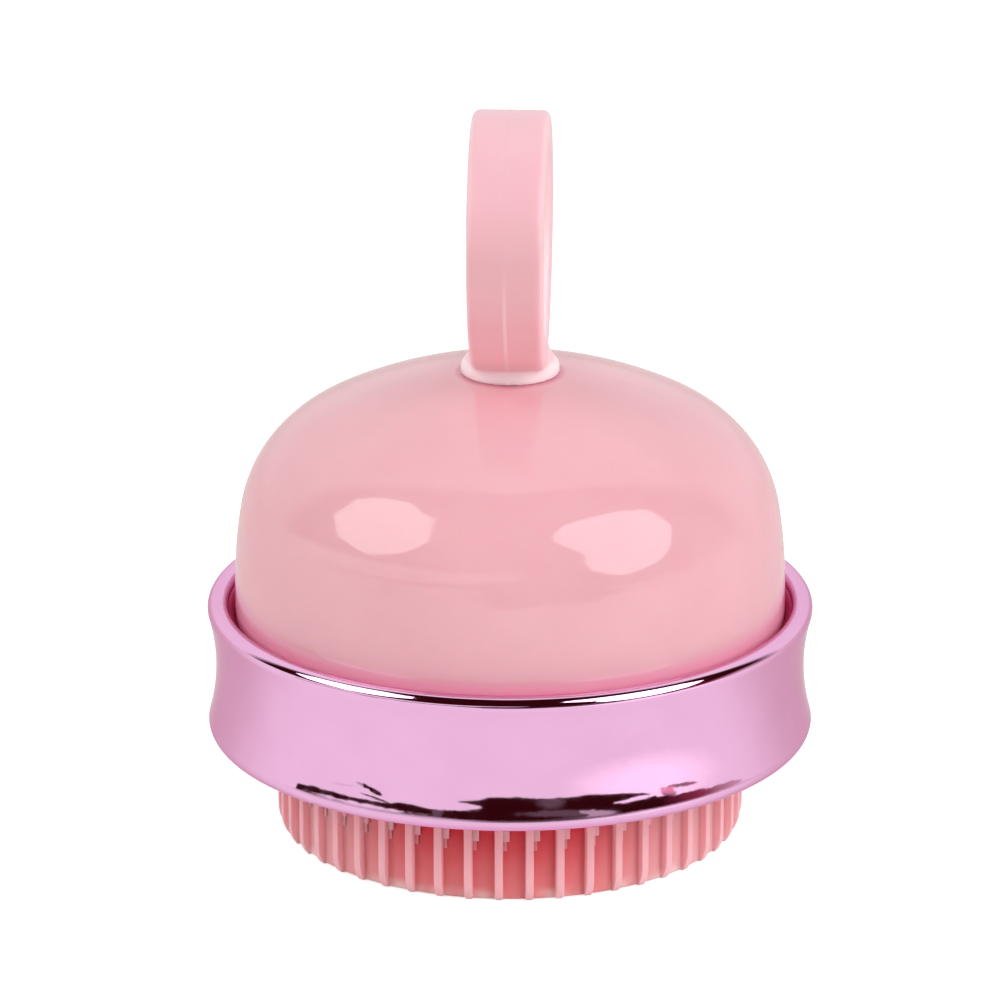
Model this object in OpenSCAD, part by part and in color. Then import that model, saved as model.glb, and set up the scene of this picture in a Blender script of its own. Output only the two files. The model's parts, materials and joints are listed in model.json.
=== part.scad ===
// Hand-held bath and massage brush. A glossy dome with a swivelling finger ring on its crown sits in a
// waisted, plated band, and the band carries a soft pad of bristles inside a ribbed rim. The band, its
// base and the pad form a head that turns a little way on a bayonet and lifts off the dome for washing.
// The origin is on the axis, in the plane of the rim's lower edge. The ring lies in the Y-Z plane.

/* [Trim band] */
// Outer diameter of the band over its two rounded lips
band_d = 80.4; // [79.6:0.2:92]
// Height of the band from its lower lip to its upper lip
band_h = 18.45; // [16:0.05:24]
// Thickness of the rounded lips
lip_d = 2.8; // [2:0.1:3.2]
// How far the waist is drawn in from the lips
waist_depth = 1.05; // [0.3:0.05:1.4]
// Width of the ledge inside the lower lip that carries the base
ledge_w = 2.2; // [1.5:0.1:2.6]
// Thickness of that ledge
ledge_t = 1.2; // [0.8:0.1:1.6]

/* [Dome] */
// Width of the groove between the dome and the band's upper lip
groove_w = 0.9; // [0.6:0.1:2]
// Height of the dome above the band's upper lip
dome_rise = 31.35; // [29:0.05:34]
// Height of the dome's widest level above the band's upper lip
widest_rise = 1.85; // [0:0.05:4]
// How far the dome's foot reaches below the core's plate
dome_skirt = 1.1; // [0.4:0.1:2]
// Thickness of the dome's wall
dome_wall = 2.2; // [1.6:0.1:2.8]
// Radius of the crown's curve
crown_r = 57.7; // [50:0.5:66]
// Radius of the shoulder's curve
shoulder_r = 17.5; // [14:0.5:19]
// Radius of the side's curve
side_r = 63.3; // [50:0.5:80]

/* [Finger ring] */
// Outer diameter of the loop
loop_d = 34; // [30:0.5:40]
// Radial thickness of the loop
loop_wall = 4.2; // [3.4:0.1:5]
// Width of the loop along its hole
loop_w = 9.9; // [8.4:0.1:10.4]
// Radius of the loop's rounded edges
loop_round = 1; // [0.4:0.1:1.6]
// How deep the loop is sunk into its round foot
loop_sink = 1.1; // [0.3:0.05:1.4]
// Diameter of the loop's round foot
foot_d = 13; // [12:0.2:15]
// Thickness of the foot
foot_t = 2; // [1.4:0.05:2.4]
// Radius of the foot's rounded upper edge
foot_round = 1.4; // [0.3:0.1:1.6]

/* [Ring swivel] */
// Diameter of the stem that turns in the crown
stem_d = 6; // [5:0.2:6.4]
// Diameter of the stem's head, moulded into the loop
stem_head_d = 7.4; // [6.8:0.2:8.4]
// Height of the stem's head
stem_head_h = 1.6; // [1:0.1:2]
// Depth of the flat seat cut in the crown under the foot
crown_seat = 0.35; // [0.3:0.05:0.5]
// Radial thickness of the bush round the stem
bush_wall = 1.6; // [1.2:0.1:2]
// Thickness of the bush's collar
bush_collar_t = 1.4; // [1:0.1:2]
// How far the bush's collar stands out from its sleeve
bush_collar_w = 2; // [1.4:0.1:2.6]
// Length of the boss under the crown, measured from the seat
crown_boss_h = 5.2; // [4.6:0.1:7]
// Thickness of the washer under the bush
washer_t = 1.2; // [0.8:0.1:1.6]
// How far the washer stands out from the stem
washer_w = 3; // [2:0.1:4]
// Thickness of the seal ring in the stem's groove
stem_seal_d = 1; // [0.8:0.1:1.2]

/* [Bristle pad] */
// Height from the rim's lower edge to the band's lower lip
reach = 13.25; // [10:0.25:18]
// Thickness of the rim's wall
rim_wall = 1.5; // [1.2:0.1:2]
// Number of ribs round the rim
rib_count = 48; // [36:1:60]
// Width of a rib
rib_w = 1.05; // [0.7:0.05:1.4]
// How far a rib stands out from the rim
rib_out = 1.2; // [1:0.1:1.4]
// How far a rib is drawn in at its lower end
rib_fade = 0.9; // [0.2:0.1:0.9]
// Height over which it is drawn in
rib_fade_h = 2.6; // [1.5:0.1:4]
// Thickness of the pad's sheet, which carries the bristles
sheet_t = 1.5; // [1.2:0.1:2]
// How far the sheet reaches out over the base
sheet_grip = 1.4; // [1.2:0.1:2]
// Least gap between the rim's wall and the outer row of bristles
bristle_margin = 1.2; // [0.6:0.1:3]
// Distance between bristle rows
bristle_pitch = 4.6; // [4.2:0.1:4.8]
// Diameter of a bristle at its root
bristle_root_d = 2.6; // [2:0.1:3]
// Diameter of a bristle at its tip
bristle_tip_d = 1.2; // [0.8:0.1:1.6]
// Bevel round a bristle's tip
tip_bevel = 0.35; // [0.1:0.05:0.35]
// How far the bristles end above the rim's lower edge
bristle_short = 0.8; // [0:0.1:2]

/* [Base and socket] */
// Thickness of the base's plate
base_t = 2; // [1.6:0.1:2.6]
// Thickness of the base's outer wall
base_wall = 1.1; // [0.9:0.1:1.3]
// Thickness of the socket's plate
socket_t = 2; // [1.6:0.1:2.6]
// How far the collar's bore lies inside the dome's wall
collar_inset = 5.3; // [4.6:0.1:7]
// Thickness of the collar's wall
collar_wall = 2; // [1.6:0.1:2.2]
// Height of the collar above its plate
collar_h = 5.3; // [5:0.1:5.8]

/* [Bayonet] */
// Angle that the head turns through to come free
twist_a = 30; // [28:1:40]
// Angular width of a lug and of a catch
lug_a = 24; // [16:1:26]
// Thickness of a lug and of a catch
lug_t = 1.8; // [1.4:0.1:2]
// How far a lug stands out from the spigot
lug_out = 2.2; // [1.6:0.1:2.6]
// Angular width of a stop
stop_a = 4; // [3:0.5:6]
// Thickness of the spigot's wall
spigot_wall = 2; // [1.6:0.1:2.4]
// Thickness of the core's plate
core_t = 2.4; // [2:0.1:3]
// Width of the flat gasket in the core
gasket_w = 1.4; // [1:0.1:1.6]
// Thickness of the gasket
gasket_t = 1.2; // [1:0.1:1.6]

/* [Screws] */
// Diameter of the screws that hold the core in the dome
core_screw_d = 2.6; // [2.2:0.1:3]
// Length of those screws under the head
core_screw_l = 9; // [7:0.5:12]
// Number of core screws
core_screws_n = 4; // [3:1:6]
// How far the core screws lie inside the spigot's wall
core_screw_inset = 5.5; // [4:0.5:9]
// Diameter of the dome's screw posts
post_d = 5.8; // [5:0.2:6.6]
// Diameter of the screws that clamp the pad
pad_screw_d = 1.5; // [1.4:0.1:1.6]
// Length of those screws under the head
pad_screw_l = 5; // [4.4:0.1:5.2]
// Number of pad screws
pad_screws_n = 6; // [4:1:8]
// Diameter of the bosses for the pad screws
pad_boss_d = 3.2; // [3.2:0.1:3.6]
// Gap between these bosses and the pad's sheet
pad_boss_gap = 0.3; // [0.2:0.1:0.6]
// Diameter of the ring stem's screw
stem_screw_d = 2.6; // [2.2:0.1:3]
// Length of that screw under the head
stem_screw_l = 6; // [4.5:0.5:7]

/* [Fits] */
// Running clearance between a turning part and its bore, on the radius
running = 0.05; // [0.02:0.01:0.08]
// Clearance between parts that are fixed to each other
fixed = 0.05; // [0.02:0.01:0.1]
// Clearance between the head and the dome where they turn past each other
turning = 0.3; // [0.2:0.05:0.4]
// Room for the bayonet to run before it meets a stop, in degrees
stop_play = 0.6; // [0.3:0.1:1]

/* [Hidden] */
$fn = 96;

// Overlap of pieces that are fused into one solid, and overrun of cuts
bite = 0.4;
// Segments in each arc of an outline
arc_steps = 12;
// Number of lugs, and of the catches that they hold
lugs_n = 3;
// Bristles that each row has more than the row inside it
row_step = 6;

// Band: radii of the lips and of the waist's arc, which runs smoothly into both lips
lip_r = lip_d / 2;
lip_at = band_d / 2 - lip_r;
band_in_r = lip_at - lip_r;
band_z0 = reach;
band_z1 = band_z0 + band_h;
lip_z0 = band_z0 + lip_r;
lip_z1 = band_z1 - lip_r;
waist_half = (lip_z1 - lip_z0) / 2;
waist_in = lip_r - waist_depth;
waist_r = (pow(waist_half, 2) + pow(waist_in, 2) - pow(lip_r, 2)) / (2 * (lip_r - waist_in));
waist_at = lip_at + waist_in + waist_r;
waist_z = (lip_z0 + lip_z1) / 2;
touch_a = asin(waist_half / (waist_r + lip_r));

// Head: levels of the base, the pad's sheet and the socket, from the band's ledge upwards
base_z0 = band_z0 + ledge_t;
base_z1 = base_z0 + base_t;
socket_z0 = base_z1 + sheet_t;
socket_z1 = socket_z0 + socket_t;
collar_z1 = socket_z1 + collar_h;
base_r = band_in_r - fixed;
base_in_r = base_r - base_wall;
pad_screw_r = base_in_r + fixed - pad_boss_d / 2;
sheet_r = pad_screw_r - pad_boss_d / 2 - pad_boss_gap;
base_hole_r = sheet_r - sheet_grip;
rib_r = base_hole_r - turning;
rim_r = rib_r - rib_out;
fade_r = (pow(rib_fade_h, 2) + pow(rib_fade, 2)) / (2 * rib_fade);
fade_a = asin(rib_fade_h / fade_r);
last_row_r = rim_r - rim_wall - bristle_margin - bristle_root_d / 2;
bristle_rows = floor(last_row_r / bristle_pitch);

// Core: its plate stands just clear of the collar, and its spigot reaches down inside
dome_r = band_in_r - groove_w;
collar_r = dome_r - dome_wall - collar_inset;
core_z0 = collar_z1 + turning;
core_z1 = core_z0 + core_t;
lug_r = collar_r - turning;
spigot_r = lug_r - lug_out;
catch_r = spigot_r + turning;
lug_z1 = collar_z1 - lug_t - turning;
lug_z0 = lug_z1 - lug_t;
gasket_r = collar_r + collar_wall / 2;
gasket_z0 = collar_z1 + running;
core_screw_r = spigot_r - spigot_wall - core_screw_inset;

// Dome: outline levels and the centre of the shoulder's arc, which is tangent to the crown and the side
dome_top = band_z1 + dome_rise;
dome_foot = core_z0 - dome_skirt;
widest_z = band_z1 + widest_rise;
side_at = [dome_r - side_r, widest_z];
crown_at = [0, dome_top - crown_r];
to_side = side_r - shoulder_r;
to_crown = crown_r - shoulder_r;
span = norm(crown_at - side_at);
along = (pow(to_side, 2) - pow(to_crown, 2) + pow(span, 2)) / (2 * span);
across = sqrt(pow(to_side, 2) - pow(along, 2));
span_dir = (crown_at - side_at) / span;
shoulder_at = side_at + along * span_dir + across * [-span_dir[1], span_dir[0]];
side_a = atan2(shoulder_at[1] - side_at[1], shoulder_at[0] - side_at[0]);
shoulder_a = atan2(shoulder_at[1] - crown_at[1], shoulder_at[0] - crown_at[0]);

// Swivel: the foot of the ring turns on the crown's flat seat, the stem in the bush, the washer under it
seat_z = dome_top - crown_seat;
foot_z0 = seat_z + running;
foot_z1 = foot_z0 + foot_t;
loop_r = loop_d / 2;
loop_in_r = loop_r - loop_wall;
loop_z = foot_z1 - loop_sink + loop_r;
stem_r = stem_d / 2;
stem_head_z = foot_z1 + fixed;
bush_in_r = stem_r + running;
bush_r = bush_in_r + bush_wall;
boss_z0 = seat_z - crown_boss_h;
bush_z0 = boss_z0 - bush_collar_t;
washer_z1 = bush_z0 - running;
washer_z0 = washer_z1 - washer_t;
boss_r = bush_r + bush_collar_w;
seal_z = (seat_z + boss_z0) / 2;
seal_r = stem_r - stem_seal_d / 2;

// Points on an arc about a centre, from one angle to another, without the first point
function arc(at, r, from, to) =
    [for (i = [1:arc_steps]) let (a = from + (to - from) * i / arc_steps) at + r * [cos(a), sin(a)]];

// Outline of the dome, drawn in by a wall's thickness, from its foot up to the axis
function dome_outline(drawn_in, foot_z) = concat(
    [[0, foot_z], [dome_r - drawn_in, foot_z], [dome_r - drawn_in, widest_z]],
    arc(side_at, side_r - drawn_in, 0, side_a),
    arc(shoulder_at, shoulder_r - drawn_in, side_a, shoulder_a),
    arc(crown_at, crown_r - drawn_in, shoulder_a, 90)
);

// Ring or part of a ring with a rectangular section
module sector(r0, r1, z0, z1, from = 0, to = 360) {
    rotate([0, 0, from])
        rotate_extrude(angle = to - from)
            translate([r0, z0])
                square([r1 - r0, z1 - z0]);
}

// Copies set out evenly on a circle, the first on the X axis
module around(count, r = 0) {
    for (i = [0:count - 1])
        rotate([0, 0, i * 360 / count])
            translate([r, 0, 0])
                children();
}

// Pan-head screw with a cross recess, its head's flat underside at the origin and its point up
module screw(d, l) {
    head_r = d * 0.95;
    head_h = d * 0.6;
    slot_w = d * 0.22;
    slot_l = d * 1.1;
    slot_h = head_h * 0.6;
    point_d = d * 0.5;
    point_h = d * 0.4;
    difference() {
        union() {
            translate([0, 0, -head_h])
                cylinder(r = head_r, h = head_h);
            cylinder(d = d, h = l - point_h);
            translate([0, 0, l - point_h])
                cylinder(d1 = d, d2 = point_d, h = point_h);
        }
        for (turn = [0, 90])
            rotate([0, 0, turn])
                translate([-slot_l / 2, -slot_w / 2, -head_h - bite])
                    cube([slot_l, slot_w, slot_h + bite]);
    }
}

// ---- Dome ----

module dome_shell() {
    color("lightpink")
    difference() {
        union() {
            difference() {
                rotate_extrude()
                    polygon(dome_outline(0, dome_foot));
                rotate_extrude()
                    polygon(dome_outline(dome_wall, dome_foot - bite));
            }
            intersection() {
                union() {
                    around(core_screws_n, core_screw_r)
                        translate([0, 0, core_z1])
                            cylinder(d = post_d, h = dome_top - core_z1);
                    translate([0, 0, boss_z0])
                        cylinder(r = boss_r, h = dome_top - boss_z0);
                }
                rotate_extrude()
                    polygon(dome_outline(dome_wall / 2, dome_foot));
            }
        }
        around(core_screws_n, core_screw_r)
            translate([0, 0, core_z1 - bite])
                cylinder(d = core_screw_d + 2 * fixed, h = core_screw_l - core_t + 2 * bite);
        translate([0, 0, boss_z0 - bite])
            cylinder(r = bush_r + fixed, h = crown_boss_h + 2 * bite);
        translate([0, 0, seat_z])
            cylinder(d = foot_d + 2 * turning, h = crown_seat + bite);
    }
}

module swivel_bush() {
    color("ivory")
    difference() {
        union() {
            sector(bush_in_r, bush_r, bush_z0, seat_z);
            sector(bush_in_r, boss_r, bush_z0, boss_z0 - fixed);
        }
        sector(0, stem_r, bush_z0, seat_z);
    }
}

module core_plate() {
    color("pink")
    difference() {
        union() {
            translate([0, 0, core_z0])
                cylinder(r = dome_r - dome_wall - fixed, h = core_t);
            sector(spigot_r - spigot_wall, spigot_r, lug_z0, core_z0 + bite);
            around(lugs_n) {
                sector(spigot_r - bite, lug_r, lug_z0, lug_z1, -lug_a / 2, lug_a / 2);
                bayonet_stop(-lug_a / 2 - stop_play - stop_a);
                bayonet_stop(lug_a / 2 + twist_a + stop_play);
            }
        }
        around(core_screws_n, core_screw_r)
            translate([0, 0, core_z0 - bite])
                cylinder(d = core_screw_d + 2 * fixed, h = core_t + 2 * bite);
        sector(gasket_r - gasket_w / 2 - fixed, gasket_r + gasket_w / 2 + fixed,
               core_z0 - bite, gasket_z0 + gasket_t + fixed);
    }
}

// Rib on the spigot that ends the twist in one direction
module bayonet_stop(from) {
    sector(spigot_r - bite, lug_r, lug_z0, core_z0 + bite, from, from + stop_a);
}

module core_screws() {
    color("silver")
    around(core_screws_n, core_screw_r)
        translate([0, 0, core_z0 - fixed])
            screw(core_screw_d, core_screw_l);
}

module head_gasket() {
    color("white")
    sector(gasket_r - gasket_w / 2, gasket_r + gasket_w / 2, gasket_z0, gasket_z0 + gasket_t);
}

// ---- Finger ring ----

module finger_ring() {
    color("lightpink")
    difference() {
        union() {
            translate([0, 0, loop_z])
                rotate([0, 90, 0])
                    rotate_extrude()
                        loop_section();
            translate([0, 0, foot_z0])
                rotate_extrude()
                    foot_section();
        }
        stem_solid(fixed);
    }
}

// Section of the loop: a rectangle with four rounded corners
module loop_section() {
    translate([loop_in_r + loop_round, -loop_w / 2])
        square([loop_wall - 2 * loop_round, loop_w]);
    translate([loop_in_r, -loop_w / 2 + loop_round])
        square([loop_wall, loop_w - 2 * loop_round]);
    for (r = [loop_in_r + loop_round, loop_r - loop_round])
        for (x = [loop_w / 2 - loop_round, loop_round - loop_w / 2])
            translate([r, x])
                circle(r = loop_round);
}

// Half section of the round foot, with its upper edge rounded
module foot_section() {
    foot_r = foot_d / 2;
    square([foot_r - foot_round, foot_t]);
    square([foot_r, foot_t - foot_round]);
    intersection() {
        translate([foot_r - foot_round, foot_t - foot_round])
            circle(r = foot_round);
        square([foot_r, foot_t]);
    }
}

// Outer form of the stem, grown by a clearance for the space it fills in the ring
module stem_solid(grow = 0) {
    translate([0, 0, washer_z1 - grow])
        cylinder(r = stem_r + grow, h = stem_head_z - washer_z1 + bite);
    translate([0, 0, stem_head_z - grow])
        cylinder(d = stem_head_d + 2 * grow, h = stem_head_h + 2 * grow);
}

module ring_stem() {
    color("gainsboro")
    difference() {
        stem_solid();
        sector(seal_r - stem_seal_d / 2 - fixed, stem_r + bite,
               seal_z - stem_seal_d / 2 - fixed, seal_z + stem_seal_d / 2 + fixed);
        translate([0, 0, washer_z1 - bite])
            cylinder(d = stem_screw_d + 2 * fixed, h = stem_screw_l - washer_t + 2 * bite);
    }
}

module stem_seal() {
    color("dimgray")
    rotate_extrude()
        translate([seal_r, seal_z])
            circle(d = stem_seal_d);
}

module stem_washer() {
    color("silver")
    sector(stem_screw_d / 2 + fixed, stem_r + washer_w, washer_z0, washer_z1);
}

module stem_screw() {
    color("silver")
    translate([0, 0, washer_z0 - fixed])
        screw(stem_screw_d, stem_screw_l);
}

// ---- Brush head ----

module trim_band() {
    color("plum")
    rotate_extrude()
        polygon(concat(
            [[band_in_r - ledge_w, band_z0], [lip_at, band_z0]],
            arc([lip_at, lip_z0], lip_r, -90, touch_a),
            arc([waist_at, waist_z], waist_r, 180 + touch_a, 180 - touch_a),
            arc([lip_at, lip_z1], lip_r, -touch_a, 180),
            [[band_in_r, band_z0 + ledge_t], [band_in_r - ledge_w, band_z0 + ledge_t]]
        ));
}

module base_ring() {
    color("hotpink")
    difference() {
        union() {
            sector(base_hole_r, base_r, base_z0, base_z1);
            sector(base_in_r, base_r, base_z0, dome_foot - turning);
            around(pad_screws_n, pad_screw_r)
                translate([0, 0, base_z0])
                    cylinder(d = pad_boss_d, h = socket_z0 - base_z0);
        }
        around(pad_screws_n, pad_screw_r)
            translate([0, 0, socket_z1 - pad_screw_l - bite])
                cylinder(d = pad_screw_d + 2 * fixed, h = pad_screw_l);
    }
}

module bristle_pad() {
    color("lightcoral") {
        sector(rim_r - rim_wall, rim_r, 0, base_z1 + bite);
        sector(0, sheet_r, base_z1, socket_z0);
        around(rib_count)
            rib();
        for (row = [0:bristle_rows])
            around(max(1, row_step * row), row * bristle_pitch)
                bristle();
    }
}

// One rib of the rim, drawn in on an arc towards its lower end
module rib() {
    translate([0, rib_w / 2, 0])
        rotate([90, 0, 0])
            linear_extrude(height = rib_w)
                polygon(concat(
                    [[rim_r - bite, base_z1 + bite], [rim_r - bite, 0], [rib_r - rib_fade, 0]],
                    arc([rib_r - fade_r, rib_fade_h], fade_r, -fade_a, 0),
                    [[rib_r, base_z1 + bite]]
                ));
}

// One tapered bristle with a bevelled tip, hanging from the sheet
module bristle() {
    tip_r = bristle_tip_d / 2;
    rotate_extrude()
        polygon([
            [0, bristle_short],
            [tip_r - tip_bevel, bristle_short],
            [tip_r, bristle_short + tip_bevel],
            [bristle_root_d / 2, base_z1 + bite],
            [0, base_z1 + bite]
        ]);
}

module socket_plate() {
    color("pink")
    difference() {
        union() {
            translate([0, 0, socket_z0])
                cylinder(r = base_in_r - fixed, h = socket_t);
            sector(collar_r, collar_r + collar_wall, socket_z1 - bite, collar_z1);
            around(lugs_n)
                sector(catch_r, collar_r + bite, collar_z1 - lug_t, collar_z1, -lug_a / 2, lug_a / 2);
        }
        around(pad_screws_n, pad_screw_r)
            translate([0, 0, socket_z0 - bite])
                cylinder(d = pad_screw_d + 2 * fixed, h = socket_t + 2 * bite);
    }
}

module pad_screws() {
    color("silver")
    around(pad_screws_n, pad_screw_r)
        translate([0, 0, socket_z1 + fixed])
            rotate([180, 0, 0])
                screw(pad_screw_d, pad_screw_l);
}

dome_shell();
swivel_bush();
core_plate();
core_screws();
head_gasket();
finger_ring();
ring_stem();
stem_seal();
stem_washer();
stem_screw();
trim_band();
base_ring();
bristle_pad();
socket_plate();
pad_screws();
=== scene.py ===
"""Looks of a hand-held bath and massage brush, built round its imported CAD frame.

Lengths are in millimetres. The mesh and material helpers turn them into metres.
"""
import json
import math

import bpy
import numpy as np
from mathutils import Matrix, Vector


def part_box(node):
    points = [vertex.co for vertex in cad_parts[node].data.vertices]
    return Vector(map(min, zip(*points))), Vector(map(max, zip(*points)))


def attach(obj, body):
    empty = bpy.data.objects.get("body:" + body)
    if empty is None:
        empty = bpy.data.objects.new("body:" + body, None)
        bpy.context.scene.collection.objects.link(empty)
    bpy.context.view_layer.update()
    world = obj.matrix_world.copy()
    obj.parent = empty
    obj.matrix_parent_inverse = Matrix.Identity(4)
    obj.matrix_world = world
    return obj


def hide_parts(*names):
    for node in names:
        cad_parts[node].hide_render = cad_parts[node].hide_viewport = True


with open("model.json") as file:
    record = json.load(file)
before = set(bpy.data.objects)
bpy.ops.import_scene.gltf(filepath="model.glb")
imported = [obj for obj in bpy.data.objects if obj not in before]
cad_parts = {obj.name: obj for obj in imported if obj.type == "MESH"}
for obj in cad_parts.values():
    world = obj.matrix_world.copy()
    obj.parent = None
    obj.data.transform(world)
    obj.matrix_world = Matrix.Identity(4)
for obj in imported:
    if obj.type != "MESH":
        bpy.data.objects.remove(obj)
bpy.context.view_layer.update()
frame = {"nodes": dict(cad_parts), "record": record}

MM = 0.001


def corners(node):
    """Lowest and highest corner of a CAD node, in millimetres."""
    low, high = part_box(node)
    return np.array(low) / MM, np.array(high) / MM


# ---- Sizes from the frame, and the few driving sizes that a box doesn't give ----

BAND_LOW, BAND_HIGH = corners("trim_band")
DOME_LOW, DOME_HIGH = corners("dome_shell")
RING_LOW, RING_HIGH = corners("finger_ring")
PAD_HIGH = corners("bristle_pad")[1]
CORE_TOP = corners("core_plate")[1][2]

LIP_R = 1.4             # radius of the band's lips
WAIST_DEPTH = 1.05      # how far the waist is drawn in
LEDGE_W = 2.2           # ledge inside the lower lip
LEDGE_T = 1.2
LEDGE_ROUND = 0.25
GROOVE_GAP = 0.08       # between the dome and the thin edge in the band's groove
GROOVE_EDGE = (0.8, 1.2, 2)     # the thin edge's levels below the middle of the upper lip

DOME_WALL = 2.2
DOME_EDGES = (0.3, 0.4)         # rounding of the dome's lower edge, inside and outside
CROWN_SEAT = 0.35       # the flat seat's depth below the crown
CROWN_R = 57.7
SHOULDER_R = 17.5
SIDE_R = 63.3
WIDEST_RISE = 1.85      # the widest level above the band
BORE_R = 4.7            # bore for the bush, its bevel, its boss and the boss's lower end
BORE_BEVEL = 0.2
BOSS_R = 6.65
BOSS_H = 5.2
POST_COUNT = 4          # screw posts inside the dome
POST_AT = 19
POST_R = 2.9
POST_BORE_R = 1.35
POST_BORE_H = 7

LOOP_WALL = 4.2
LOOP_W = 9.9
LOOP_FLARE = 0.12       # how far each side of the loop leans out at the top, and in at the foot
LOOP_ROUND = 1.0
SEAM_H = 0.035          # parting line on the loop: its height and its half width
SEAM_W = 0.2
JOIN_R = 1.3            # fillet between loop and foot
FOOT_T = 2
FOOT_ROUND = 1.4
FOOT_REACH = 3          # half the height of the disc that the foot is cut from
STEM_R = 3.05           # pocket for the stem and its head
HEAD_R = 3.75
HEAD_TOP = 1.7          # the pocket's end above the foot

RIB_COUNT = 48
RIB_W = 1.05
RIB_OUT = 1.2
RIB_EDGE = 0.17         # rounding of a rib's edges and roots
RIB_ROOT = 0.15
RIB_FADE = 0.9          # how far a rib is drawn in at its lower end
RIB_FADE_H = 2.6        # and over which height
RIM_R = 29.9
RIM_WALL = 1.5
RIM_EDGE_OUT = 0.34     # rounding of the rim's lower edge, outside and inside, and of its root
RIM_EDGE_IN = 0.4
RIM_ROOT = 0.8
SHEET_T = 1.5
BRISTLE_PITCH = 4.6
BRISTLE_ROWS = 5
BRISTLE_ROOT_R = 1.3
BRISTLE_FLARE = 0.7     # rounding of a bristle's root
BRISTLE_TIP_R = 0.6
BRISTLE_SHORT = 0.8
BITE = 0.3              # how far bristles and steps reach into the sheet
GUSSETS = ((0.85, 0.5, 8.3), (0.5, 0.3, 6.9))   # width, depth and lower end of a rib's steps
GUSSET_BITE = 0.4       # how far they reach into the rim


# ---- Mesh helpers ----

def mesh_object(name, verts, faces, sharp_deg=35):
    mesh = bpy.data.meshes.new(name)
    mesh.from_pydata((np.asarray(verts, float) * MM).tolist(), [], faces)
    mesh.validate()
    mesh.shade_smooth()
    mesh.set_sharp_from_angle(angle=math.radians(sharp_deg))
    obj = bpy.data.objects.new(name, mesh)
    bpy.context.scene.collection.objects.link(obj)
    return obj


def arc(at, radius, start, end, steps):
    """Points on an arc, both ends included, with angles in degrees."""
    a = np.radians(np.linspace(start, end, steps + 1))
    return np.array(at) + radius * np.stack([np.cos(a), np.sin(a)], 1)


def circle(radius, z, angles):
    """Points round the axis at given angles."""
    level = np.full(len(angles), z)
    return np.stack([radius * np.cos(angles), radius * np.sin(angles), level], 1).tolist()


def rounded(points, radii, steps):
    """A closed outline with each corner turned into an arc of its radius, where that isn't 0."""
    points = np.asarray(points, float)
    out = []
    for i, (p, radius) in enumerate(zip(points, radii)):
        if not radius:
            out.append(p)
            continue
        before, after = points[i - 1], points[(i + 1) % len(points)]
        u = (before - p) / np.linalg.norm(before - p)
        v = (after - p) / np.linalg.norm(after - p)
        half = math.acos(np.clip(u @ v, -1, 1)) / 2
        centre = p + (u + v) / np.linalg.norm(u + v) * radius / math.sin(half)
        a, b = p + u * radius / math.tan(half), p + v * radius / math.tan(half)
        for t in np.linspace(0, 1, steps + 1):
            chord = a + (b - a) * t - centre
            out.append(centre + chord / np.linalg.norm(chord) * radius)
    return np.array(out)


def stitch(rings, closed=False):
    """Vertices, and faces between rings of points. A ring of one point is a pole.

    closed joins the last ring to the first.
    """
    verts, starts = [], []
    for ring in rings:
        starts.append(len(verts))
        verts.extend(ring)
    faces = []
    pairs = list(zip(range(len(rings) - 1), range(1, len(rings))))
    if closed:
        pairs.append((len(rings) - 1, 0))
    for i, j in pairs:
        a, b, n, m = starts[i], starts[j], len(rings[i]), len(rings[j])
        for k in range(max(n, m)):
            q = (k + 1) % max(n, m)
            if n == 1:
                faces.append((a, b + q, b + k))
            elif m == 1:
                faces.append((a + k, a + q, b))
            else:
                faces.append((a + k, a + q, b + q, b + k))
    return verts, faces


def turned(profile, segments, closed=True):
    """A lathe form from (radius, height) points.

    Seen with the axis on the left, they run anticlockwise.
    """
    angles = np.linspace(0, 2 * math.pi, segments, endpoint=False)
    rings = [[(0, 0, z)] if r < 1e-9 else circle(r, z, angles) for r, z in profile]
    return stitch(rings, closed)


def turn(angle):
    """Matrix for rows of (x, y, z) that turns them anticlockwise round the axis."""
    c, s = math.cos(angle), math.sin(angle)
    return np.array([[c, s, 0], [-s, c, 0], [0, 0, 1]])


def joined(parts):
    """One vertex and face list from several."""
    verts, faces = [], []
    for v, f in parts:
        base = len(verts)
        verts.extend(v)
        faces.extend(tuple(i + base for i in face) for face in f)
    return verts, faces


def moved(part, offset):
    verts, faces = part
    return (np.asarray(verts, float) + np.asarray(offset, float)).tolist(), faces


# ---- Dome ----

DOME_R = DOME_HIGH[0]
DOME_FOOT = DOME_LOW[2]
SEAT_Z = DOME_HIGH[2]
DOME_TOP = SEAT_Z + CROWN_SEAT
WIDEST_Z = BAND_HIGH[2] + WIDEST_RISE


def dome_curve(drawn_in, steps):
    """The dome's outline from its widest level to the axis, drawn in by a thickness."""
    side_at = np.array([DOME_R - SIDE_R, WIDEST_Z])
    crown_at = np.array([0, DOME_TOP - CROWN_R])
    to_side, to_crown = SIDE_R - SHOULDER_R, CROWN_R - SHOULDER_R
    span = np.linalg.norm(crown_at - side_at)
    along = (to_side ** 2 - to_crown ** 2 + span ** 2) / (2 * span)
    across = math.sqrt(to_side ** 2 - along ** 2)
    ahead = (crown_at - side_at) / span
    shoulder_at = side_at + along * ahead + across * np.array([-ahead[1], ahead[0]])
    side_a = math.degrees(math.atan2(*(shoulder_at - side_at)[::-1]))
    crown_a = math.degrees(math.atan2(*(shoulder_at - crown_at)[::-1]))
    return np.concatenate([
        arc(side_at, SIDE_R - drawn_in, 0, side_a, steps),
        arc(shoulder_at, SHOULDER_R - drawn_in, side_a, crown_a, 2 * steps)[1:],
        arc(crown_at, CROWN_R - drawn_in, crown_a, 90, 2 * steps)[1:],
    ])


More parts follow.
